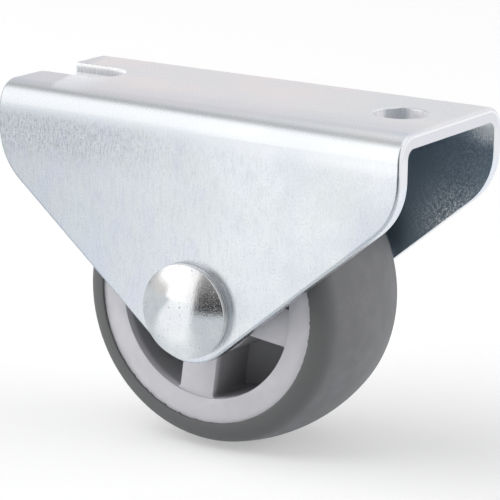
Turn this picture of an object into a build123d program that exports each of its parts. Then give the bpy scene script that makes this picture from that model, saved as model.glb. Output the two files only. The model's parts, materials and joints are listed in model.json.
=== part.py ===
from build123d import *
import math
import os

os.makedirs("parts", exist_ok=True)

# Fixed box castor: a folded sheet channel with a wheel riveted into it.
# Millimetres. The origin is the middle of the top plate's upper face, straight above the axle.
# X runs along the channel from the open slot to the round hole, Y from the rivet's domed head
# to its set end, and Z up to the furniture that the top plate is screwed to.

# Folded channel
channel_length = 46.0
channel_width = 20.0
sheet = 1.5
inside_bend_radius = 1.0
tread_clearance = 3.5       # from the tread up to the top plate's inner face
tip_radius = 5.4            # round tip of a side plate, about the axle
flank_angle = 40.0          # slanted edges of a side plate, from the horizontal
end_corner_radius = 6.8     # where a slanted edge turns up to the channel's end
sheared_edge_radius = 0.3   # rolled edge that the press leaves on the outer face

# Screw hole and open-ended slot in the top plate
hole_x = 17.4
hole_diameter = 5.5
hole_edge_radius = 0.2
slot_x = -18.0              # centre of the slot's round end
slot_width = 5.5
slot_mouth_radius = 0.8

# Rivet and sleeve
rivet_diameter = 5.0
rivet_hole_clearance = 0.1
head_diameter = 9.4
head_edge_height = 1.0
head_dome_height = 1.3
head_edge_radius = 0.15
set_end_diameter = 8.0
set_end_edge_height = 0.5
set_end_dome_height = 1.2
sleeve_bore_clearance = 0.1
sleeve_wall = 1.0

# Wheel core
rim_wall = 2.45
key_height = 0.9            # raised band round the rim that holds the moulded tyre
key_width = 6.0
web_thickness = 2.0
hub_diameter = 10.4
hub_edge_radius = 0.3
hub_side_play = 0.3         # between a hub face and the side plate
hub_running_clearance = 0.08
spoke_count = 4
spoke_width = 3.8
spoke_setback = 0.3         # how far the spokes lie behind the rim's face
spoke_turn = -97.0          # first spoke, counted from X towards Z
pocket_corner_radius = 0.3
mould_draft = 1.5

# Tyre
wheel_diameter = 30.0
tread_thickness = 2.9       # over the rim, at the wheel's middle
tyre_side_clearance = 1.2   # between the tyre's side and the side plate
tyre_lip = 0.3              # how far the tyre's side stands proud of the rim's face
tyre_lip_radius = 0.15
shoulder_width = 1.7        # from the tread's edge to the tyre's side
tread_fall = 0.68           # from the tread's middle to its edge

# Sizes that follow from these
half_length = channel_length / 2
half_width = channel_width / 2
inside_half_width = half_width - sheet
outside_bend_radius = inside_bend_radius + sheet
rivet_radius = rivet_diameter / 2
sleeve_inner_radius = rivet_radius + sleeve_bore_clearance
sleeve_outer_radius = sleeve_inner_radius + sleeve_wall
hub_bore_radius = sleeve_outer_radius + hub_running_clearance
hub_radius = hub_diameter / 2
hub_half_length = inside_half_width - hub_side_play
wheel_radius = wheel_diameter / 2
axle_drop = sheet + tread_clearance + wheel_radius
tyre_half_width = inside_half_width - tyre_side_clearance
rim_half_width = tyre_half_width - tyre_lip
rim_outer_radius = wheel_radius - tread_thickness
rim_inner_radius = rim_outer_radius - rim_wall
spoke_face = rim_half_width - spoke_setback

# Planes and axis through the axle: one cuts along the axle, one faces the rivet's head
axle_centre = Vector(0, 0, -axle_drop)
axle_axis = Axis(axle_centre, (0, 1, 0))
axle_section = Plane(origin=axle_centre, x_dir=(0, 1, 0), z_dir=(1, 0, 0))
axle_front = Plane(origin=axle_centre, x_dir=(1, 0, 0), z_dir=(0, -1, 0))
axle_back = Plane(origin=axle_centre, x_dir=(1, 0, 0), z_dir=(0, 1, 0))


# Housing: one sheet, pressed out and folded to a channel
def depth_in_sheet(point):
    """How far a point lies below the outer face of the folded sheet."""
    beside = max(abs(point.Y) - (half_width - outside_bend_radius), 0)
    above = max(point.Z + outside_bend_radius, 0)
    return outside_bend_radius - math.hypot(beside, above)


def is_outer_cut_edge(edge):
    """True for a sheared edge of the outer face, false for the long seams beside the bends."""
    on_face = all(abs(depth_in_sheet(edge @ place)) < 0.001 for place in (0, 0.5, 1))
    return on_face and edge.length < channel_length - 0.001


apex_drop = axle_drop + tip_radius / math.cos(math.radians(flank_angle))
flank_drop = apex_drop - half_length * math.tan(math.radians(flank_angle))

with BuildPart() as housing:
    # The fold's inside line, thickened outwards and drawn out along the channel
    with BuildSketch(Plane.YZ):
        with BuildLine():
            FilletPolyline(
                (-inside_half_width, -apex_drop),
                (-inside_half_width, -sheet),
                (inside_half_width, -sheet),
                (inside_half_width, -apex_drop),
                radius=inside_bend_radius,
            )
            offset(amount=sheet, side=Side.LEFT, kind=Kind.ARC)
        make_face()
    extrude(amount=half_length, both=True)

    # Side plates: slanted edges that run into a round tip about the axle
    with BuildSketch(Plane.XZ) as side_outline:
        Polygon(
            (-half_length, 0),
            (-half_length, -flank_drop),
            (0, -apex_drop),
            (half_length, -flank_drop),
            (half_length, 0),
            align=None,
        )
        fillet(side_outline.vertices().sort_by(Axis.Y)[1:3], end_corner_radius)
        fillet(side_outline.vertices().sort_by(Axis.Y)[0], tip_radius)
    extrude(amount=half_width, both=True, mode=Mode.INTERSECT)

    # Open-ended slot with rounded mouth corners
    with BuildSketch():
        with Locations((slot_x, 0)):
            Circle(slot_width / 2)
            Rectangle(half_length + slot_x, slot_width, align=(Align.MAX, Align.CENTER))
    extrude(amount=-sheet, mode=Mode.SUBTRACT)
    mouth = housing.edges().filter_by(Axis.Z).filter_by_position(Axis.Y, -slot_width, slot_width)
    fillet(mouth.group_by(Axis.X)[0], slot_mouth_radius)
    fillet(housing.edges().filter_by(is_outer_cut_edge), sheared_edge_radius)

    # Screw hole, rounded where the punch went in
    with Locations((hole_x, 0)):
        Hole(hole_diameter / 2, depth=sheet)
    hole_rim = housing.edges().filter_by(GeomType.CIRCLE).filter_by_position(Axis.Z, -0.001, 0.001)
    fillet(hole_rim.sort_by(Axis.X)[-1], hole_edge_radius)

    # One hole through both side plates for the rivet
    with BuildSketch(axle_front):
        Circle(rivet_radius + rivet_hole_clearance)
    extrude(amount=half_width, both=True, mode=Mode.SUBTRACT)

housing.part.label = "housing"
export_step(housing.part, "parts/housing.step")


# Axle rivet: domed head in front, shank, set end behind
with BuildPart() as axle_rivet:
    with BuildSketch(axle_section) as rivet_section:
        head_rim = (-half_width - head_edge_height, head_diameter / 2)
        set_rim = (half_width + set_end_edge_height, set_end_diameter / 2)
        with BuildLine():
            head_dome = TangentArc(
                (head_rim[0] - head_dome_height, 0),
                head_rim,
                tangent=(0, 1),
            )
            Polyline(
                head_rim,
                (-half_width, head_rim[1]),
                (-half_width, rivet_radius),
                (half_width, rivet_radius),
                (half_width, set_rim[1]),
                set_rim,
            )
            set_dome = TangentArc((set_rim[0] + set_end_dome_height, 0), set_rim, tangent=(0, 1))
            Line(set_dome @ 0, head_dome @ 0)
        make_face()
        rims = [v for v in rivet_section.vertices() if v.Y > rivet_radius + 0.001]
        fillet(rims, head_edge_radius)
    revolve(axis=axle_axis)

axle_rivet.part.label = "axle_rivet"
export_step(axle_rivet.part, "parts/axle_rivet.step")


# Axle sleeve: a tube as long as the gap between the side plates
with BuildPart() as axle_sleeve:
    with BuildSketch(axle_front):
        Circle(sleeve_outer_radius)
        Circle(sleeve_inner_radius, mode=Mode.SUBTRACT)
    extrude(amount=inside_half_width, both=True)

axle_sleeve.part.label = "axle_sleeve"
export_step(axle_sleeve.part, "parts/axle_sleeve.step")


# Wheel core: turned outline with pockets moulded into both sides, which leave web and spokes
rim_outline = [
    (-rim_half_width, rim_outer_radius),
    (-key_width / 2, rim_outer_radius),
    (-key_width / 2, rim_outer_radius + key_height),
    (key_width / 2, rim_outer_radius + key_height),
    (key_width / 2, rim_outer_radius),
    (rim_half_width, rim_outer_radius),
]

with BuildPart() as wheel_core:
    with BuildSketch(axle_section) as core_section:
        with BuildLine():
            Polyline(
                *rim_outline,
                (rim_half_width, rim_inner_radius),
                (spoke_face, rim_inner_radius),
                (spoke_face, hub_radius),
                (hub_half_length, hub_radius),
                (hub_half_length, hub_bore_radius),
                (-hub_half_length, hub_bore_radius),
                (-hub_half_length, hub_radius),
                (-spoke_face, hub_radius),
                (-spoke_face, rim_inner_radius),
                (-rim_half_width, rim_inner_radius),
                close=True,
            )
        make_face()
        hub_ends = core_section.vertices().group_by(Axis.X)
        hub_corners = [end.sort_by(Axis.Y)[-1] for end in (hub_ends[0], hub_ends[-1])]
        fillet(hub_corners, hub_edge_radius)
    revolve(axis=axle_axis)

    for side in (axle_front, axle_back):
        with BuildSketch(side.offset(spoke_face)) as pockets:
            Circle(rim_inner_radius)
            Circle(hub_radius, mode=Mode.SUBTRACT)
            with PolarLocations(0, spoke_count, start_angle=spoke_turn):
                Rectangle(
                    rim_outer_radius,
                    spoke_width,
                    align=(Align.MIN, Align.CENTER),
                    mode=Mode.SUBTRACT,
                )
            fillet(pockets.vertices(), pocket_corner_radius)
        extrude(amount=web_thickness / 2 - spoke_face, taper=mould_draft, mode=Mode.SUBTRACT)

wheel_core.part.label = "wheel_core"
export_step(wheel_core.part, "parts/wheel_core.step")


# Tyre: crowned tread with round shoulders, moulded over the rim and its raised band
with BuildPart() as tyre:
    with BuildSketch(axle_section) as tyre_section:
        tread_edge = (tyre_half_width - shoulder_width, wheel_radius - tread_fall)
        with BuildLine():
            tread = ThreePointArc((-tread_edge[0], tread_edge[1]), (0, wheel_radius), tread_edge)
            TangentArc(tread @ 1, (tyre_half_width, rim_outer_radius), tangent=tread % 1)
            TangentArc(tread @ 0, (-tyre_half_width, rim_outer_radius), tangent=-(tread % 0))
            Polyline(
                (-tyre_half_width, rim_outer_radius),
                *rim_outline,
                (tyre_half_width, rim_outer_radius),
            )
        make_face()
        lips = [v for v in tyre_section.vertices() if abs(v.X) > tyre_half_width - 0.001]
        fillet(lips, tyre_lip_radius)
    revolve(axis=axle_axis)

tyre.part.label = "tyre"
export_step(tyre.part, "parts/tyre.step")
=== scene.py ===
# %% [markdown]
# # A fixed caster wheel, dressed in Blender
# The real thing is a small castor: one zinc-plated steel sheet folded to a channel, a grey
# wheel with a soft tread, and a domed rivet that serves as its axle. The solids come from CAD
# and already have the right sizes. Here they get the shapes, finishes and light that a
# photograph shows. Everything is in metres, with Z up and the mounting face at Z = 0.

# %% Load the solids
import json
import math

import bmesh
import bpy
from mathutils import Matrix, Vector

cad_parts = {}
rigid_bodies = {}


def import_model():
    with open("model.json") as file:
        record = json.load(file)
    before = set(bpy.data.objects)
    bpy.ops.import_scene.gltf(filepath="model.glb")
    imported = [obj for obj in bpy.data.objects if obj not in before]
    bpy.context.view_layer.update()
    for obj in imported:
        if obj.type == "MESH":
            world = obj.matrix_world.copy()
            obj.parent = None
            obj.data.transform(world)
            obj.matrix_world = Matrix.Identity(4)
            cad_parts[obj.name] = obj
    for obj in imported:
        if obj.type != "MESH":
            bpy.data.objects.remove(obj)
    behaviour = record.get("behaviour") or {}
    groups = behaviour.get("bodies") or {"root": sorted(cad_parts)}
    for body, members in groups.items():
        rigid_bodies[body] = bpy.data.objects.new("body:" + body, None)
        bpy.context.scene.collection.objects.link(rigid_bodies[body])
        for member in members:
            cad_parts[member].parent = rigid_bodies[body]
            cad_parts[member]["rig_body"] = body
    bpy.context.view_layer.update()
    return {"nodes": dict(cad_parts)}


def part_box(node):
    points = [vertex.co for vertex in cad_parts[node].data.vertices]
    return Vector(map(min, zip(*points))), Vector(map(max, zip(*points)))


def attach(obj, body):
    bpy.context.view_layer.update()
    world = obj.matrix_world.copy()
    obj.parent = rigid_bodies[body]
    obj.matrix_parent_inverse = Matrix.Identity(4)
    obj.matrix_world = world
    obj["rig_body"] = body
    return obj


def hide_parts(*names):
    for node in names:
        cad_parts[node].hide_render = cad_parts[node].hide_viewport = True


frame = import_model()
MM = 0.001
nodes = frame["nodes"]
print("solids:", sorted(nodes))

# %% [markdown]
# ## Where things are
# The outer sizes are read from the solids' boxes instead of being typed in again, so the
# dressed pieces stay on the solids if those change. Inner sizes, which no box shows, are
# typed in the cell that needs them. The axle runs along Y, through the middle of the tyre.

# %% Read the main places
tyre_low, tyre_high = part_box("tyre")
housing_low, housing_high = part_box("housing")
rivet_low, rivet_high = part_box("axle_rivet")
AXLE = (tyre_low + tyre_high) / 2
WHEEL_RADIUS = (tyre_high.x - tyre_low.x) / 2
FRONT = housing_low.y
FLOOR_Z = tyre_low.z
print("axle height %.1f mm, wheel radius %.1f mm" % (AXLE.z / MM, WHEEL_RADIUS / MM))

# %% [markdown]
# ## The camera
# The photograph was taken with a long lens, from the right of the domed rivet and a little
# above. The angles and the distance were found by laying the part's outline over the
# picture. A camera looks along its own -Z axis, so its turn is written as three columns:
# its right, its up and the way back from the object to the lens.

# %% Place the camera
YAW = math.radians(32.18)
PITCH = math.radians(13.96)
ROLL = math.radians(1.0)
DISTANCE = 294.48 * MM
SIDE_STEP = 0.61 * MM
RISE = 3.86 * MM
FOCAL_PIXELS = 2947.0
PICTURE_PIXELS = 500.0
SENSOR_WIDTH = 36

back = Vector((
    math.sin(YAW) * math.cos(PITCH),
    -math.cos(YAW) * math.cos(PITCH),
    math.sin(PITCH),
))
level_right = Vector((math.cos(YAW), math.sin(YAW), 0))
level_up = back.cross(level_right)
right = level_right * math.cos(ROLL) + level_up * math.sin(ROLL)
up = back.cross(right)

lens = bpy.data.cameras.new("camera")
lens.sensor_width = SENSOR_WIDTH
lens.lens = FOCAL_PIXELS / PICTURE_PIXELS * SENSOR_WIDTH
lens.clip_start = 10 * MM
camera = bpy.data.objects.new("camera", lens)
turn = Matrix((right, up, back)).transposed().to_4x4()
lens_place = AXLE + back * DISTANCE + right * SIDE_STEP + up * RISE
camera.matrix_world = Matrix.Translation(lens_place) @ turn
bpy.context.scene.collection.objects.link(camera)
bpy.context.scene.camera = camera
bpy.context.scene.view_settings.view_transform = "Standard"
print("lens %.0f mm" % lens.lens)

# %% [markdown]
# ## Nodes from one method
# A material is a small network of nodes. Wiring it by hand is long and hard to read, so
# every node comes from one method, which sets the node's options first and its sockets
# afterwards. The other methods are the few kinds of node that the finishes need: a place,
# a noise, a bump. A colour isn't a number, so colours are blended with Mix nodes, one coat
# over the other.


# %% The finish helper
def srgb(code):
    """A colour as a screen shows it, such as "8090A0", as the linear colour that nodes take."""
    values = [int(code[i:i + 2], 16) / 255 for i in (0, 2, 4)]
    linear = [v / 12.92 if v <= 0.04045 else ((v + 0.055) / 1.055) ** 2.4 for v in values]
    return (*linear, 1)


class Finish:
    """A material or world whose nodes are written as expressions."""

    def __init__(self, owner):
        owner.use_nodes = True
        self.owner = owner
        self.tree = owner.node_tree

    def node(self, kind, settings=(), sockets=(), output=0):
        """Adds one node: first its settings, then a value or a link for each socket."""
        made = self.tree.nodes.new(kind)
        for key, value in dict(settings).items():
            if key == "stops":
                ramp = made.color_ramp
                while len(ramp.elements) < len(value):
                    ramp.elements.new(1.0)
                for element, (place, level) in zip(ramp.elements, value):
                    element.position = place
                    element.color = (level, level, level, 1)
            else:
                setattr(made, key, value)
        for key, value in dict(sockets).items():
            self.feed(made.inputs[key], value)
        return Wire(self, made.outputs[output])

    def feed(self, socket, value):
        """Links a wire to a socket, or sets a plain value on it."""
        if isinstance(value, Wire):
            self.tree.links.new(value.socket, socket)
        else:
            socket.default_value = value

    def place(self, scale=(1, 1, 1), shift=(0, 0, 0)):
        """The piece's own coordinates in millimetres, stretched and moved for a pattern."""
        spot = self.node("ShaderNodeTexCoord", output="Object")
        scale = tuple(s / MM for s in scale)
        return self.node(
            "ShaderNodeMapping", {}, {"Vector": spot, "Scale": scale, "Location": shift}
        )

    def spot(self):
        """The place on the piece in millimetres, as three numbers."""
        split = self.node("ShaderNodeSeparateXYZ", {}, {"Vector": self.place()})
        return split.others()

    def noise(self, where, size, detail, roughness, distortion=0.0):
        """Noise from 0 to 1, with spots of about that size in millimetres."""
        return self.node(
            "ShaderNodeTexNoise",
            {},
            {"Vector": where, "Scale": 1 / size, "Detail": detail, "Roughness": roughness,
             "Distortion": distortion},
            output="Fac",
        )

    def ramp(self, value, *stops):
        """Turns a value into a level by a row of stops, each a value and its level."""
        return self.node("ShaderNodeValToRGB", {"stops": stops}, {"Fac": value})

    def blend(self, factor, first, second):
        """Mixes two colours."""
        return self.node(
            "ShaderNodeMix", {"data_type": "RGBA"}, {0: factor, 6: first, 7: second}, output=2
        )

    def coat(self, colour, *layers):
        """Lays layers over a colour, each with a label, a mask for where it lies and a tone."""
        for label, mask, tone in layers:
            colour = self.blend(mask, colour, tone if isinstance(tone, Wire) else srgb(tone))
            colour.socket.node.label = label
        print("coats:", ", ".join(label for label, _, _ in layers))
        return colour

    def bump(self, height, distance, strength=1.0, under=None):
        """Bends the light by a height in millimetres times distance."""
        sockets = {"Height": height, "Distance": distance * MM, "Strength": strength}
        if under is not None:
            sockets["Normal"] = under
        return self.node("ShaderNodeBump", {}, sockets)

    def surface(self, **values):
        """Feeds the material's shader, with _ in a name standing for a space."""
        for key, value in values.items():
            self.feed(self.tree.nodes["Principled BSDF"].inputs[key.replace("_", " ")], value)
        return self.owner


# %% [markdown]
# ## Shader maths as plain expressions
# A mask such as "inside the channel, but not near its mouth" takes a dozen Math nodes. This
# class wraps a socket and lets + - * and ** between sockets add those nodes, so a mask is
# written as a formula. Python calls the methods that begin with __r when the socket stands
# on the right of a plain number, as in 1 - mask.


# %% The socket helper
class Wire:
    """A socket that a formula can use like a number."""

    def __init__(self, finish, socket):
        self.finish = finish
        self.socket = socket

    def others(self):
        """All the outputs of the same node."""
        return [Wire(self.finish, socket) for socket in self.socket.node.outputs]

    def math(self, operation, *terms):
        """Adds a Math node that works on these terms."""
        return self.finish.node("ShaderNodeMath", {"operation": operation}, dict(enumerate(terms)))

    def __add__(self, other):
        return self.math("ADD", self, other)

    __radd__ = __add__

    def __sub__(self, other):
        return self.math("SUBTRACT", self, other)

    def __rsub__(self, other):
        return self.math("SUBTRACT", other, self)

    def __mul__(self, other):
        return self.math("MULTIPLY", self, other)

    __rmul__ = __mul__

    def __pow__(self, other):
        return self.math("POWER", self, other)

    def __abs__(self):
        return self.math("ABSOLUTE", self)

    def at_least(self, other):
        """The larger of two values."""
        return self.math("MAXIMUM", self, other)

    def at_most(self, other):
        """The smaller of two values."""
        return self.math("MINIMUM", self, other)

    def rise(self, low, high):
        """Rises smoothly from 0 at low to 1 at high."""
        return self.finish.node(
            "ShaderNodeMapRange",
            {"interpolation_type": "SMOOTHSTEP", "clamp": True},
            {"Value": self, "From Min": low, "From Max": high},
        )

    def fall(self, low, high):
        """Falls smoothly from 1 at low to 0 at high."""
        return 1 - self.rise(low, high)

    def into(self, value, mask):
        """Goes over to another value where the mask is 1."""
        return self * (1 - mask) + mask * value


def diagonal(across, along):
    """How far a place lies from a centre, from its offsets across and along."""
    return (across * across + along * along) ** 0.5


# %% [markdown]
# ## Zinc-plated sheet
# The housing is stamped from cold-rolled steel, folded and electroplated with zinc, which
# gives a pale, slightly blue metal with a satin gloss. A picture of such metal could be
# wrapped round the sheet, but it would stretch in the bends and bring its own light. Here
# the finish is worked out from the place on the piece in millimetres. It starts with masks,
# numbers from 0 to 1 that say where each part of the sheet is. Coats of colour go on them
# in the cells that follow.

# %% Find the parts of the sheet
SHEET_MM = 1.5
BEND_MM = 2.5
HOLE_MM = 17.4
SLOT_MM = -18.0
HOLE_RADIUS_MM = 2.75
HALF_WIDTH_MM = (housing_high.y - housing_low.y) / 2 / MM
HALF_LENGTH_MM = (housing_high.x - housing_low.x) / 2 / MM
INNER_HALF_MM = HALF_WIDTH_MM - SHEET_MM

zinc = Finish(bpy.data.materials.new("zinc_sheet"))
x, y, z = zinc.spot()
side = abs(y)
inside = side.fall(INNER_HALF_MM, INNER_HALF_MM + 0.1) * z.fall(-SHEET_MM - 0.1, -SHEET_MM)
on_top = z.rise(-0.5, -0.05)
flat_side = z.fall(-4.5, -2.5)

# The sheared end faces, and the walls that the punch left in the hole and in the slot
cut = abs(x).rise(HALF_LENGTH_MM - 0.04, HALF_LENGTH_MM - 0.01)
hole_x = x - HOLE_MM
in_hole = diagonal(hole_x, y).fall(HOLE_RADIUS_MM + 0.05, HOLE_RADIUS_MM + 0.15)
from_slot = diagonal((x - SLOT_MM).at_least(0.0), y)
in_slot = from_slot.fall(HOLE_RADIUS_MM + 0.03, HOLE_RADIUS_MM + 0.1)
in_sheet = z.fall(-0.2, -0.05)
punched = in_hole.at_least(in_slot) * in_sheet * z.rise(-SHEET_MM, -SHEET_MM + 0.05)
print("channel %.0f x %.0f mm" % (2 * HALF_LENGTH_MM, 2 * HALF_WIDTH_MM))

# %% [markdown]
# ## Patterns of the plating
# The rolling left fine lines, which run down the sides, and the plating bath left cloudy
# patches over them. Each pattern is a noise. A small third number in its stretch draws the
# spots out along Z to lines, and a shift keeps two patterns from lying on each other.

# %% Make the patterns
fine = zinc.noise(zinc.place((1.0, 1.0, 0.06)), 0.14, 3.0, 0.6)
coarse = zinc.noise(zinc.place((1.0, 1.0, 0.12)), 0.55, 2.0, 0.5)
dashes = zinc.noise(zinc.place((1.0, 1.0, 0.25), shift=(4, 2, 7)), 0.36, 2.0, 0.6)
crackle = zinc.noise(zinc.place((1.0, 1.0, 0.3)), 0.2, 3.0, 0.75)
patches = zinc.noise(zinc.place((1.0, 1.0, 0.6), shift=(9, 8, 1)), 3.2, 3.0, 0.6)
cloud = zinc.noise(zinc.place(), 7.0, 3.0, 0.55, 0.3)
tint = zinc.noise(zinc.place(shift=(3, 1, 2)), 11.0, 2.0, 0.5)
grain = zinc.noise(zinc.place(), 0.2, 2.0, 0.7)
speck = zinc.noise(zinc.place(shift=(2, 0, 5)), 0.13, 2.0, 0.6)
print("patterns made, nodes so far:", len(zinc.tree.nodes))

# %% [markdown]
# ## The side plates
# The plates are painted darker towards the slotted end, as painted shade. Greenish and bluish
# clouds drift over them, with short grey dashes and a fine grain on top. These differences are
# faint, so each coat has a low strength, and they fade towards the end with the round hole.

# %% Colour the side plates
uneven = flat_side * (1 - x.rise(0.0, 16.0) * 0.6)
# Painted shade: the blend under the coats darkens the plates towards the slotted end.
colour = zinc.coat(
    zinc.blend(x.rise(-20.0, 18.0), srgb("D3D6DC"), srgb("FAFBFD")),
    ("green clouds", cloud.rise(0.35, 0.65) * 0.4, "DEE2E1"),
    ("blue clouds", tint.rise(0.48, 0.62) * 0.4, "D6DBEA"),
    ("light lines", fine.rise(0.35, 0.75) * 0.3, "F2F4F6"),
    ("blue patches", patches.rise(0.48, 0.62) * uneven * 0.26, "D6DAEE"),
    ("green patches", patches.fall(0.36, 0.48) * uneven * 0.22, "DEE9E2"),
    ("grey dashes", dashes.rise(0.52, 0.62) * uneven * 0.14, "B9BEC6"),
    ("grey grain", grain.rise(0.5, 0.68) * flat_side * 0.22, "AEB4BA"),
)

# %% [markdown]
# ## The top plate and the bends
# The top lies flat against the furniture and is smoother and calmer than the sides. Painted
# shade greys it at the slotted end and along the front, and a painted highlight lies beside
# the slot. The bends are painted lighter, as a painted highlight. Just below them the skin was
# stretched as the sheet was folded, and the plating shows dark cracks and light specks there,
# most of all at the slotted end.

# %% Colour the top plate and the bends
across_slot = x + y * 0.3
slot_end = across_slot.fall(-20.6, -19.4)
beside_slot = across_slot.rise(-20.4, -19.6) * across_slot.fall(-18.5, -14.5)
beside_slot = beside_slot * y.fall(-3.0, -1.5)
on_bend = z.rise(-3.4, -2.4) * (1 - on_top) * (1 - inside)
stretched = abs(z + 4.6).fall(0.4, 4.0) * x.fall(-16.0, 6.0) * z.fall(-3.4, -2.2)
top_tone = zinc.blend(x.rise(4.0, 16.0), srgb("EDE6E9"), srgb("E0E3E8"))
top_tone = zinc.blend(cloud.rise(0.35, 0.65), top_tone, srgb("E6E5E9"))
# Painted shade on the slotted end and the front strip, and painted highlights beside the slot and
# on the bends.
colour = zinc.coat(
    colour,
    ("top plate", on_top, top_tone),
    ("painted shade at the slotted end", on_top * slot_end * 0.6, "CDCED8"),
    ("painted highlight beside the slot", on_top * beside_slot, "FAFBFF"),
    ("painted shade along the front", on_top * y.fall(-7.6, -2.5) * 0.4, "C6CBD7"),
    ("painted highlight on the bends", on_bend * 0.6, "EEF1F4"),
    ("dark cracks", stretched * crackle.rise(0.47, 0.58) * 0.5, "9C9FA2"),
    ("light specks", stretched * speck.rise(0.55, 0.62) * 0.7, "FAFBFC"),
)

# %% [markdown]
# ## Inside the channel
# Inside the channel the zinc is painted dark and blue, as painted shade. At the channel's
# mouth painted light specks stand for glints, closest along the lower edge and in the upper
# corner, and a painted highlight fills that corner.

# %% Colour the inside
near_mouth = x.rise(12.0, 22.5)
low_edge = near_mouth * z.fall(-13.0, -7.0)
corner = x.rise(19.5, 22.5) * y.rise(6.2, 8.2) * z.rise(-4.5, -2.3)
sparkle = speck.rise(0.5, 0.55) * (near_mouth * 0.3 + low_edge * 1.5 + corner * 0.7)
sparkle = (inside * (sparkle + corner * 0.9)).at_most(1.0)
# Painted shade inside the channel, and painted glints and a painted corner highlight at its mouth.
colour = zinc.coat(
    colour,
    ("painted shade inside", inside, "ADC0CF"),
    ("painted glints at the mouth", sparkle, "FAFDFF"),
)

# %% [markdown]
# ## Cut faces and punched walls
# Where the press cut the sheet, the steel broke off rough, and under the zinc it looks
# white and matt. A thin painted highlight runs along the end faces, just under the outer skin.
# In the slot the punch burnished the upper part of the wall to a greyer band, and a thin
# painted highlight runs along the rim above it. The shaded side of the round hole is painted
# grey, as painted shade.

# %% Colour the cut faces
beside_bend = (side - HALF_WIDTH_MM + BEND_MM).at_least(0.0)
above_bend = (z + BEND_MM).at_least(0.0)
skin = BEND_MM - diagonal(beside_bend, above_bend)
# Painted highlight: a thin white band along the end faces, just under the outer skin.
painted_skin_highlight = cut * z.rise(-BEND_MM, -SHEET_MM) * skin.rise(0.28, 0.34) * skin.fall(0.4, 0.6)
cut_tone = zinc.blend(z.rise(-3.0, -1.5), srgb("F0F0F2"), srgb("E8E7EB"))
far_wall = in_hole * hole_x.rise(-2.65, -2.4) * hole_x.fall(-1.2, -0.3) * y.rise(0.5, 1.5)
burnished = in_slot * in_sheet * z.rise(-1.05, -0.9) * (1 - z.rise(-0.9, -0.3) * 0.5)
# Painted highlight: a thin white, less metallic line along the top of the slot's wall.
painted_rim_highlight = from_slot.rise(HOLE_RADIUS_MM - 0.02, HOLE_RADIUS_MM)
painted_rim_highlight = painted_rim_highlight * from_slot.fall(HOLE_RADIUS_MM + 0.25, HOLE_RADIUS_MM + 0.35)
painted_rim_highlight = painted_rim_highlight * z.rise(-0.4, -0.3) * z.fall(-0.05, -0.01)
colour = zinc.coat(
    colour,
    ("cut end faces", cut, cut_tone),
    ("painted_skin_highlight", painted_skin_highlight * grain.rise(0.3, 0.5), "FFFFFF"),
    ("punched walls", punched, "F8F7FA"),
    ("shaded side of the hole", far_wall * punched * 0.8, "B4BAC0"),
    ("burnished wall of the slot", burnished, "CDCED2"),
    ("painted highlight on the slot's rim", painted_rim_highlight, "FFFFFF"),
)

# %% [markdown]
# ## Relief and gloss of the sheet
# Relief this fine would need millions of faces, so Bump nodes only tilt the light as if the
# surface rose and fell. Each takes the one before as the normal that it starts from. The
# first stands for the shape that the press leaves: the sheet still curves a little below
# the bends, and the front fold is twisted by a fraction of a degree from end to end, which
# moves the reflections in it. The others are the rolled lines, the grain and the cracks.

# %% Bend the light and set the gloss
rolled = z.rise(-4.4, -0.9) * (0.06 - x.rise(-12.0, 20.0) * 0.36)
twisted = (y * -1 - z).rise(7.8, 12.0) * y.fall(-7.2, -6.0) * x * 0.011
lively = (1 - x.rise(-6.0, 16.0) * 0.45) * (1 - on_top * 0.6)
bent = zinc.bump(rolled + twisted, 1.0)
bent = zinc.bump((fine * 0.6 + coarse * 0.4) * lively, 0.0042, 1.0, bent)
bent = zinc.bump(grain * (0.2 + flat_side * 0.8) * lively, 0.0055, 0.8, bent)
bent = zinc.bump(crackle * stretched, 0.015, 1.0, bent)
rough = 0.2 + fine * 0.08 + cloud * 0.06 + inside * 0.1 + stretched * 0.1 + cut * 0.2
metal = (0.95 - punched * 0.8 - sparkle * 0.8) * (1 - painted_rim_highlight * 0.8)
zinc_plate = zinc.surface(Base_Color=colour, Metallic=metal, Roughness=rough, Normal=bent)
print("zinc finish:", len(zinc.tree.nodes), "nodes")

# %% [markdown]
# ## Bright rivet steel
# The rivet is turned and polished before it is plated, so it mirrors the studio. Its dome
# has a few soft dents, pits and smudges, and a worn patch on the right where it sparkles.
# The short edge round the dome is matt, apart from the seam that the forming die left in it.


# %% Make the rivet's finish
HEAD_RADIUS = (rivet_high.x - rivet_low.x) / 2
HEAD_EDGE = 1.0 * MM
SEAM_HEIGHT = 0.55 * MM
SEAM_STEP = 0.1 * MM


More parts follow.
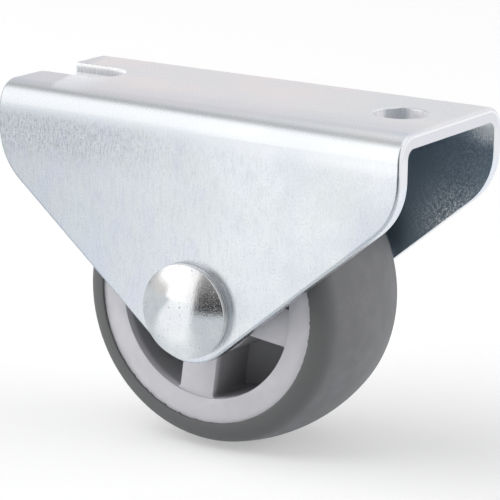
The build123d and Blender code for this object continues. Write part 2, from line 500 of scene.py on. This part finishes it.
def rivet_steel():
    steel = Finish(bpy.data.materials.new("rivet_steel"))
    x, y, z = steel.spot()
    height = z - AXLE.z / MM
    worn = x.rise(1.2, 2.4) * height.rise(-1.5, 1.0)
    edge = diagonal(x, height).rise(HEAD_RADIUS / MM - 0.25, HEAD_RADIUS / MM - 0.08)
    dome_start = (FRONT - HEAD_EDGE) / MM
    seam = (FRONT - SEAM_HEIGHT + SEAM_STEP / 2) / MM
    edge = edge * y.rise(dome_start + 0.02, dome_start + 0.1) * abs(y - seam).rise(0.1, 0.17)

    dents = steel.noise(steel.place(), 3.2, 1.0, 0.4)
    speckle = steel.noise(steel.place(), 0.16, 3.0, 0.7)
    smudge = steel.noise(steel.place(), 1.8, 3.0, 0.6)
    pits = steel.noise(steel.place(shift=(6, 1, 3)), 0.3, 1.0, 0.4)
    fleck = steel.noise(steel.place(shift=(1, 4, 0)), 0.09, 3.0, 0.7)
    fleck = worn * fleck.rise(0.5, 0.64) * (1 - edge)

    colour = steel.coat(
        steel.blend(smudge.rise(0.4, 0.7), srgb("EEEEF0"), srgb("F8F8F6")),
        ("speckle", speckle.rise(0.56, 0.7) * 0.3, "A5AAAE"),
        ("pits", pits.rise(0.71, 0.76) * 0.5, "84878A"),
        ("edge", edge, "DADEE0"),
    )
    bent = steel.bump(dents, 0.014)
    bent = steel.bump(speckle * (0.4 + worn * 0.6), 0.012, 1.0, bent)
    rough = 0.07 + speckle.rise(0.45, 0.8) * 0.12
    metal = 1 - edge * 0.8 - fleck * 0.45
    return steel.surface(Base_Color=colour, Metallic=metal, Roughness=rough, Normal=bent)


steel = rivet_steel()
print("rivet finish:", len(steel.node_tree.nodes), "nodes")

# %% [markdown]
# ## Moulded wheel
# The core is a hard grey plastic, shot into a polished mould, so it has a low even sheen
# with faint flow clouds. Its pockets are a little rougher and painted darker, as painted shade.
# The tread is a softer grey rubber that is moulded over it and has a dry, matt skin, a
# shade darker on its sides.


# %% Make the plastic and the rubber
SPOKE_FACE_MM = 6.7
TREAD_EDGE_MM = 5.6


def core_plastic():
    plastic = Finish(bpy.data.materials.new("core_plastic"))
    _, y, _ = plastic.spot()
    in_pocket = abs(y).fall(SPOKE_FACE_MM - 1.0, SPOKE_FACE_MM - 0.1)
    flow = plastic.noise(plastic.place(), 3.0, 3.0, 0.5, 0.4)
    grain = plastic.noise(plastic.place(), 0.12, 2.0, 0.6)
    # Painted shade: the pockets are coloured darker.
    colour = plastic.coat(
        plastic.blend(flow.rise(0.35, 0.7), srgb("D2D1D6"), srgb("DAD9DE")),
        ("pockets", in_pocket, "9C9C9F"),
    )
    rough = 0.42 + grain * 0.12 + in_pocket * 0.1
    bent = plastic.bump(grain, 0.004)
    return plastic.surface(Base_Color=colour, Roughness=rough, Normal=bent)


def tread_rubber():
    rubber = Finish(bpy.data.materials.new("tread_rubber"))
    _, y, _ = rubber.spot()
    on_side = abs(y).rise(TREAD_EDGE_MM - 0.8, TREAD_EDGE_MM + 1.2)
    dust = rubber.noise(rubber.place(), 2.2, 4.0, 0.6)
    grain = rubber.noise(rubber.place(), 0.1, 2.0, 0.6)
    colour = rubber.coat(
        rubber.blend(dust.rise(0.35, 0.75), srgb("717173"), srgb("7A7A7D")),
        ("sides", on_side, "676868"),
    )
    bent = rubber.bump(grain, 0.005)
    return rubber.surface(Base_Color=colour, Roughness=0.5 + grain * 0.15, Normal=bent)


plastic = core_plastic()
rubber = tread_rubber()
print("wheel finishes:", plastic.name, rubber.name)

# %% [markdown]
# ## From a bmesh to a piece
# Each new piece ends in the same way. Its faces are turned outwards, its mesh gets smooth
# shading that breaks at sharp edges, it takes its finish, it rides on the body of the solid it
# stands for, and that solid is hidden. Round pieces are made on the Z axis, where a loop
# of edges can be drawn out ring by ring, and are then laid on the wheel's axle.

# %% Helpers for pieces
SHARP = math.radians(32)


def make_piece(shape, name, solid, material):
    """Turns a bmesh into a finished piece that stands for a solid."""
    bmesh.ops.recalc_face_normals(shape, faces=shape.faces)
    mesh = bpy.data.meshes.new(name)
    shape.to_mesh(mesh)
    shape.free()
    mesh.shade_smooth()
    mesh.set_sharp_from_angle(angle=SHARP)
    mesh.materials.append(material)
    piece = bpy.data.objects.new(name, mesh)
    bpy.context.scene.collection.objects.link(piece)
    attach(piece, nodes[solid]["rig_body"])
    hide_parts(solid)
    print(name, "faces", len(mesh.polygons))


def grow(shape, edges, along, radius):
    """Draws a round edge loop out along Z, and gives the new loop that radius."""
    made = bmesh.ops.extrude_edge_only(shape, edges=edges)["geom"]
    ring = [v for v in made if isinstance(v, bmesh.types.BMVert)]
    old = math.hypot(ring[0].co.x, ring[0].co.y)
    bmesh.ops.scale(shape, verts=ring, vec=(radius / old, radius / old, 1))
    bmesh.ops.translate(shape, verts=ring, vec=(0, 0, along))
    return [e for e in made if isinstance(e, bmesh.types.BMEdge)]


def round_off(shape, edges, radius, segments, clamp=False):
    """Rounds edges of a bmesh."""
    bmesh.ops.bevel(
        shape, geom=edges, offset=radius, segments=segments, profile=0.5, affect="EDGES",
        material=-1, clamp_overlap=clamp,
    )


def lay_on_axle(shape, y):
    """Turns a shape from Z to the axle, its top to the viewer and its origin at y."""
    quarter = Matrix.Rotation(math.pi / 2, 3, "X")
    bmesh.ops.rotate(shape, verts=shape.verts, cent=(0, 0, 0), matrix=quarter)
    bmesh.ops.translate(shape, verts=shape.verts, vec=(AXLE.x, y, AXLE.z))


# %% [markdown]
# ## The rivet
# A rivet starts as a headed pin. Its head is a shallow dome on a short round edge, and the
# edge has a fine step where the two halves of the forming die met. The far end is set over a
# punch once the wheel is in place, which leaves a lower, flatter button.
# The dome is a real sphere with all but its cap cut away, so it mirrors evenly. The rest
# grows from the cap's open rim, ring by ring, down to the far button.

# %% Build the rivet
DOME_RISE = FRONT - rivet_low.y - HEAD_EDGE
SHANK_RADIUS = 2.5 * MM
SET_RADIUS = 4.0 * MM
SET_EDGE = 0.5 * MM
SET_RISE = rivet_high.y - housing_high.y - SET_EDGE
RIM_ROUND = 0.1 * MM
FOOT_ROUND = 0.12 * MM
HEAD_SLICES = 128
SPHERE_RINGS = 240
BUTTON_RINGS = 16

dome_radius = (HEAD_RADIUS ** 2 + DOME_RISE ** 2) / (2 * DOME_RISE)
rivet = bmesh.new()
bmesh.ops.create_uvsphere(
    rivet, u_segments=HEAD_SLICES, v_segments=SPHERE_RINGS, radius=dome_radius
)
bmesh.ops.bisect_plane(
    rivet, geom=rivet.verts[:] + rivet.edges[:] + rivet.faces[:],
    plane_co=(0, 0, dome_radius - DOME_RISE), plane_no=(0, 0, 1), clear_inner=True,
)
bmesh.ops.translate(rivet, verts=rivet.verts, vec=(0, 0, HEAD_EDGE + DOME_RISE - dome_radius))
rim = [e for e in rivet.edges if e.is_boundary]
edge = grow(rivet, rim, SEAM_HEIGHT - HEAD_EDGE, HEAD_RADIUS)
edge = grow(rivet, edge, -SEAM_STEP, HEAD_RADIUS - SEAM_STEP)
foot = grow(rivet, edge, SEAM_STEP - SEAM_HEIGHT, HEAD_RADIUS - SEAM_STEP)
edge = grow(rivet, foot, 0, SHANK_RADIUS)
edge = grow(rivet, edge, housing_low.y - housing_high.y, SHANK_RADIUS)
edge = grow(rivet, edge, 0, SET_RADIUS)
edge = grow(rivet, edge, -SET_EDGE, SET_RADIUS)
for ring in range(1, BUTTON_RINGS):
    turn_now = math.pi / 2 * ring / BUTTON_RINGS
    turn_before = math.pi / 2 * (ring - 1) / BUTTON_RINGS
    drop = SET_RISE * (math.sin(turn_now) - math.sin(turn_before))
    edge = grow(rivet, edge, -drop, SET_RADIUS * math.cos(turn_now))
bmesh.ops.edgeloop_fill(rivet, edges=edge)
round_off(rivet, rim, RIM_ROUND, segments=3)
round_off(rivet, foot, FOOT_ROUND, segments=3)
lay_on_axle(rivet, FRONT)
make_piece(rivet, "rivet", "axle_rivet", steel)

# %% [markdown]
# ## The tyre
# The soft tread is moulded round the rim. Its section is nearly flat across the middle, with
# full round shoulders and a short side that ends in a thin lip round the rim's edge. Inside,
# it grips a raised band of the rim. The section is a row of points, each with its place
# across the wheel and its radius. The crown is an arc through its middle and its edge, and
# the shoulder's arc goes on from there to the lip, so the sizes of both follow from where
# they meet. The radius where tyre and rim touch is typed in, not worked out from the tyre's
# box: the box of a round mesh is a hair smaller than its circle, and the lip would then cut
# into the rim.

# %% Draw the tyre's section
TYRE_HALF = (tyre_high.y - tyre_low.y) / 2
RIM_RADIUS = 12.1 * MM
RIM_FACE = TYRE_HALF - 0.3 * MM
KEY_RADIUS = 13.0 * MM
KEY_HALF = 3.0 * MM
CROWN_HALF = TYRE_HALF - 1.7 * MM
CROWN_FALL = 0.68 * MM
LIP_ROUND = 0.12 * MM
LIP_CORNER = 0.3 * LIP_ROUND
LIP_START = 0.02 * MM
STILL_RING = 0.05 * MM
SHOULDER_RINGS = 18
CROWN_RINGS = 8

crown_radius = (CROWN_HALF ** 2 + CROWN_FALL ** 2) / (2 * CROWN_FALL)
crown_angle = math.asin(CROWN_HALF / crown_radius)
inward = Vector((-math.sin(crown_angle), -math.cos(crown_angle)))
crown_edge = Vector((CROWN_HALF, WHEEL_RADIUS - CROWN_FALL))
gap = crown_edge - Vector((TYRE_HALF, RIM_RADIUS))
shoulder_radius = -gap.dot(gap) / (2 * inward.dot(gap))
shoulder_centre = crown_edge + inward * shoulder_radius

section = [
    (RIM_FACE + LIP_START, RIM_RADIUS),
    (TYRE_HALF - LIP_ROUND, RIM_RADIUS),
    (TYRE_HALF - LIP_CORNER, RIM_RADIUS + LIP_CORNER),
]
for ring in range(1, SHOULDER_RINGS + 1):
    angle = (math.pi / 2 - crown_angle) * ring / SHOULDER_RINGS
    section.append((
        shoulder_centre.x + shoulder_radius * math.cos(angle),
        shoulder_centre.y + shoulder_radius * math.sin(angle),
    ))
for ring in range(1, CROWN_RINGS + 1):
    angle = crown_angle * (1 - ring / CROWN_RINGS)
    section.append((
        crown_radius * math.sin(angle),
        WHEEL_RADIUS - crown_radius * (1 - math.cos(angle)),
    ))
section += [(-across, radius) for across, radius in reversed(section[:-1])]
section += [
    (-RIM_FACE + STILL_RING, RIM_RADIUS),
    (-KEY_HALF, RIM_RADIUS),
    (-KEY_HALF, KEY_RADIUS),
    (KEY_HALF, KEY_RADIUS),
    (KEY_HALF, RIM_RADIUS),
    (RIM_FACE - STILL_RING, RIM_RADIUS),
]
print("tyre section:", len(section), "points, shoulder %.1f mm" % (shoulder_radius / MM))

# %% [markdown]
# ## Round the wheel
# A circle at the near lip is drawn out along the section, ring by ring, and the last ring is
# bridged to the first. Spinning the section would do as well, but rings keep their edges as
# loops. The rubber creeps a little over the rim's edge in the mould, so the lip isn't a
# perfect circle. The sum of three waves, each with its count of crests round the wheel and
# its start, pushes it inwards here and there, and a slow fourth wave fades it in and out.

# %% Build the tyre
AROUND = 288
CREEP = 0.06 * MM
LIP_HEIGHT = 0.1 * MM
WAVES = ((83, 1), (37, 0), (119, 2))

tyre = bmesh.new()
bmesh.ops.create_circle(tyre, segments=AROUND, radius=section[0][1])
bmesh.ops.translate(tyre, verts=tyre.verts, vec=(0, 0, section[0][0]))
near_lip = tyre.edges[:]
edge = near_lip
for (before, _), (across, radius) in zip(section, section[1:]):
    edge = grow(tyre, edge, across - before, radius)
bmesh.ops.bridge_loops(tyre, edges=near_lip + edge)
for vert in tyre.verts:
    reach = math.hypot(vert.co.x, vert.co.y)
    if reach < RIM_RADIUS + LIP_HEIGHT and abs(vert.co.z) > RIM_FACE:
        angle = math.atan2(vert.co.y, vert.co.x)
        wave = sum(math.sin(count * angle + start) for count, start in WAVES)
        wave *= 0.5 + 0.5 * math.sin(3 * angle + 1)
        vert.co.x *= 1 - CREEP * max(wave, 0) / reach
        vert.co.y *= 1 - CREEP * max(wave, 0) / reach
lay_on_axle(tyre, AXLE.y)
make_piece(tyre, "tyre_tread", "tyre", rubber)

# %% [markdown]
# ## The wheel core
# The core is one moulding: a ring, four spokes, a hub and a thin web between the pockets.
# Its solid has the right shape but razor-sharp edges, and no mould makes those. A copy of
# the solid's mesh is joined up, its flat faces are merged, and then a fine bevel runs along
# every sharp edge, so each edge catches a thin line of light.

# %% Soften the core's edges
SAME_PLACE = 0.001 * MM
FLAT_ANGLE = math.radians(0.5)
HARD_ANGLE = math.radians(50)
MOULD_ROUND = 0.07 * MM

core = bmesh.new()
core.from_mesh(nodes["wheel_core"].data)
bmesh.ops.remove_doubles(core, verts=core.verts, dist=SAME_PLACE)
bmesh.ops.dissolve_limit(core, angle_limit=FLAT_ANGLE, verts=core.verts, edges=core.edges)
hard = [e for e in core.edges if len(e.link_faces) == 2 and e.calc_face_angle() > HARD_ANGLE]
round_off(core, hard, MOULD_ROUND, segments=2, clamp=True)
print("core edges softened:", len(hard))
make_piece(core, "wheel_body", "wheel_core", plastic)

# %% [markdown]
# ## Dressing the solids that stay
# A solid whose shape is right keeps its mesh. Only its finish changes.

# %% Give the other solids their finish
for name, material in (("housing", zinc_plate), ("axle_sleeve", steel)):
    slots = nodes[name].material_slots
    for slot in slots:
        slot.material = material
    print(name, "slots", len(slots), "faces", len(nodes[name].data.polygons))

# %% [markdown]
# ## The floor
# The wheel stands on a plain pale floor. The camera sees it as white paper, a little
# brighter than the light alone would make it. Metal shows a floor much more strongly than
# paper does, so a ray that comes from the metal meets a painted floor: mid grey near the
# wheel, pale behind it and in a band towards the front left, and dark in the far part
# towards the camera. A Light Path node tells the two kinds of ray apart.
# The three directions below are shared with the room. A white sheet stands on the side that
# the first one points to, up to where the dark side begins, on the side that the second one
# points to. The third one ends the dark side in the same way.

# %% Lay the floor
FLOOR_SIZE = 6.0
SHEET_START = (0.755, -0.656, 0.0)
DARK_START = (0.988, -0.156, 0.0)
DARK_END = (-0.57, -0.82, 0.0)

bpy.ops.mesh.primitive_plane_add(size=FLOOR_SIZE, location=(0, 0, FLOOR_Z))
floor = bpy.context.object
floor.name = "floor"
paper = Finish(bpy.data.materials.new("floor_paper"))
x, y, _ = paper.spot()


def along(way):
    """How far a place on the floor lies that way from the middle, in millimetres."""
    return x * way[0] + y * way[1]


band = along(SHEET_START).rise(-14.0, -4.0) * along(DARK_START).fall(-4.0, 4.0)
band = band * y.fall(-30.0, 0.0)
behind = y.rise(-6.0, 20.0)
far = diagonal(x, y).rise(60.0, 125.0)
dark_part = along(DARK_START).rise(0.0, 6.0) * along(DARK_END).rise(0.0, 15.0) * far
print("floor at %.1f mm" % (FLOOR_Z / MM))

# %% [markdown]
# ## What each ray meets on the floor
# Mix Shader nodes choose between three shaders: matt paper for the light in the room, the
# same with some white added for the camera, and a glow with the painted levels for the
# metal. The glow is a shade bluish, as daylight in a white studio is.

# %% Paint the floor
NEAR_LEVEL = 0.64
PALE_LEVEL = 1.0
DARK_LEVEL = 0.05
NEAR_TINT = (0.93, 1.0, 1.04, 1)
PALE_TINT = (0.975, 1.0, 1.02, 1)
PAPER_WHITE = (0.9, 0.9, 0.9, 1)
ADDED_WHITE = 0.25

seen_in_metal = NEAR_LEVEL + (band + behind) * (PALE_LEVEL - NEAR_LEVEL)
seen_in_metal = seen_in_metal.into(DARK_LEVEL, dark_part)
glow_colour = paper.blend(band.at_least(behind), NEAR_TINT, PALE_TINT)
glow_colour = paper.blend(seen_in_metal, (0, 0, 0, 1), glow_colour)
glow = paper.node("ShaderNodeEmission", {}, {"Color": glow_colour, "Strength": 1.0})
white = paper.node("ShaderNodeEmission", {}, {"Color": (1, 1, 1, 1), "Strength": 1.5})
paper.surface(Base_Color=PAPER_WHITE, Roughness=0.9)
matt = Wire(paper, paper.tree.nodes["Principled BSDF"].outputs[0])
to_camera, _, _, to_metal = paper.node("ShaderNodeLightPath").others()[:4]
mixed = paper.node("ShaderNodeMixShader", {}, {0: to_camera * ADDED_WHITE, 1: matt, 2: white})
mixed = paper.node("ShaderNodeMixShader", {}, {0: to_metal, 1: mixed, 2: glow})
paper.feed(paper.tree.nodes["Material Output"].inputs["Surface"], mixed)
floor.data.materials.append(paper.owner)
print("floor nodes:", len(paper.tree.nodes))

# %% [markdown]
# ## The lamps
# Three large soft lamps light the plastic, the rubber and the floor, as softboxes do in a
# studio: the strongest above and to the left, one low at the front left and one at the right
# and behind. Large lamps give soft shadows. The metal doesn't show them, because their
# square outlines would stand in it. It mirrors only the painted room.


# %% Hang the lamps
def soft_lamp(name, direction, distance, width, depth, power):
    """A rectangular soft lamp that faces the wheel from a direction."""
    light = bpy.data.lights.new(name, "AREA")
    light.shape = "RECTANGLE"
    light.size = width
    light.size_y = depth
    light.energy = power
    lamp = bpy.data.objects.new(name, light)
    away = Vector(direction).normalized()
    lamp.location = AXLE + away * distance
    lamp.rotation_euler = away.to_track_quat("Z", "Y").to_euler()
    lamp.visible_glossy = False
    bpy.context.scene.collection.objects.link(lamp)


soft_lamp("key_lamp", (-0.5, -0.4, 0.85), distance=1.0, width=1.0, depth=0.8, power=5.5)
soft_lamp("front_fill", (-0.75, -0.65, 0.1), distance=1.2, width=1.0, depth=0.8, power=5.0)
soft_lamp("side_lamp", (0.85, 0.4, 0.3), distance=1.1, width=0.9, depth=0.7, power=5.0)

# %% [markdown]
# ## The room that the metal mirrors
# Bright metal shows what stands around it. A wide pale cloth hangs behind and overhead, and
# the front is white. A grey gap lies between the two, overhead and a little to the front,
# and the fold of the channel shows it as a line along the bend. A tall white sheet stands at
# the front left with grey beside it, and the side behind the camera is dark. A room could
# be built from planes, but every edge would then have to be found by trial. Here each level
# is a number that depends on the direction alone, so an edge sits where its limits say.

# %% Paint the room
CLOTH_LEVELS = ((0.12, 0.86), (0.28, 0.83), (0.42, 0.68), (0.50, 0.46), (0.59, 0.46), (0.70, 1.22))
CLOTH_HANG = 0.16
TO_CAMERA = (0.6, -0.78, 0.1)
ROOM_LIGHT = 0.5

room = Finish(bpy.data.worlds.new("room"))
bpy.context.scene.world = room.owner


def toward(way):
    """1 for a ray that goes straight that way, 0 across it and -1 for the opposite way."""
    direction = room.node("ShaderNodeTexCoord", output="Generated")
    return room.node(
        "ShaderNodeVectorMath", {"operation": "DOT_PRODUCT"}, {0: direction, 1: way}, output="Value"
    )


front = toward((0.0, -1.0, 0.0))
left = toward((-1.0, 0.0, 0.0))
height = toward((0.0, 0.0, 1.0))
past_sheet = toward(DARK_START)

cloth = room.ramp(front * 0.5 + 0.5, *CLOTH_LEVELS)
cloth = cloth.into(1.0, toward((1.0, 0.0, 0.0)).rise(-0.4, -0.2))
below_cloth = (height + CLOTH_HANG - left.rise(0.58, 0.76) * CLOTH_HANG).fall(0.10, 0.30)
before_dark = past_sheet.fall(-0.03, 0.0)
sheet = toward(SHEET_START).rise(-0.2, -0.05) * before_dark
beside_sheet = front.rise(0.0, 0.3) * below_cloth * (1 - sheet) * before_dark
dark_side = past_sheet.rise(0.0, 0.04) * toward(DARK_END).rise(0.0, 0.2)
dark_side = dark_side * (1 - height.rise(0.0, 0.6) * 0.25)
mirrored = cloth.into(NEAR_LEVEL, beside_sheet).into(DARK_LEVEL, dark_side)
print("room nodes:", len(room.tree.nodes))

# %% [markdown]
# ## What each ray meets in the room
# A ray from matt surfaces finds a soft even light, which is lower towards the camera. A ray
# from the metal finds the painted room, and the camera itself sees plain white.

# %% Light the room
to_camera, _, _, to_metal = room.node("ShaderNodeLightPath").others()[:4]
level = ROOM_LIGHT * (1 - toward(TO_CAMERA).rise(0.2, 0.95) * 0.5)
level = level.into(mirrored, to_metal).into(1.0, to_camera)
background = room.tree.nodes["Background"]
room.feed(background.inputs["Color"], (1, 1, 1, 1))
room.feed(background.inputs["Strength"], level)
print("world:", bpy.context.scene.world.name)
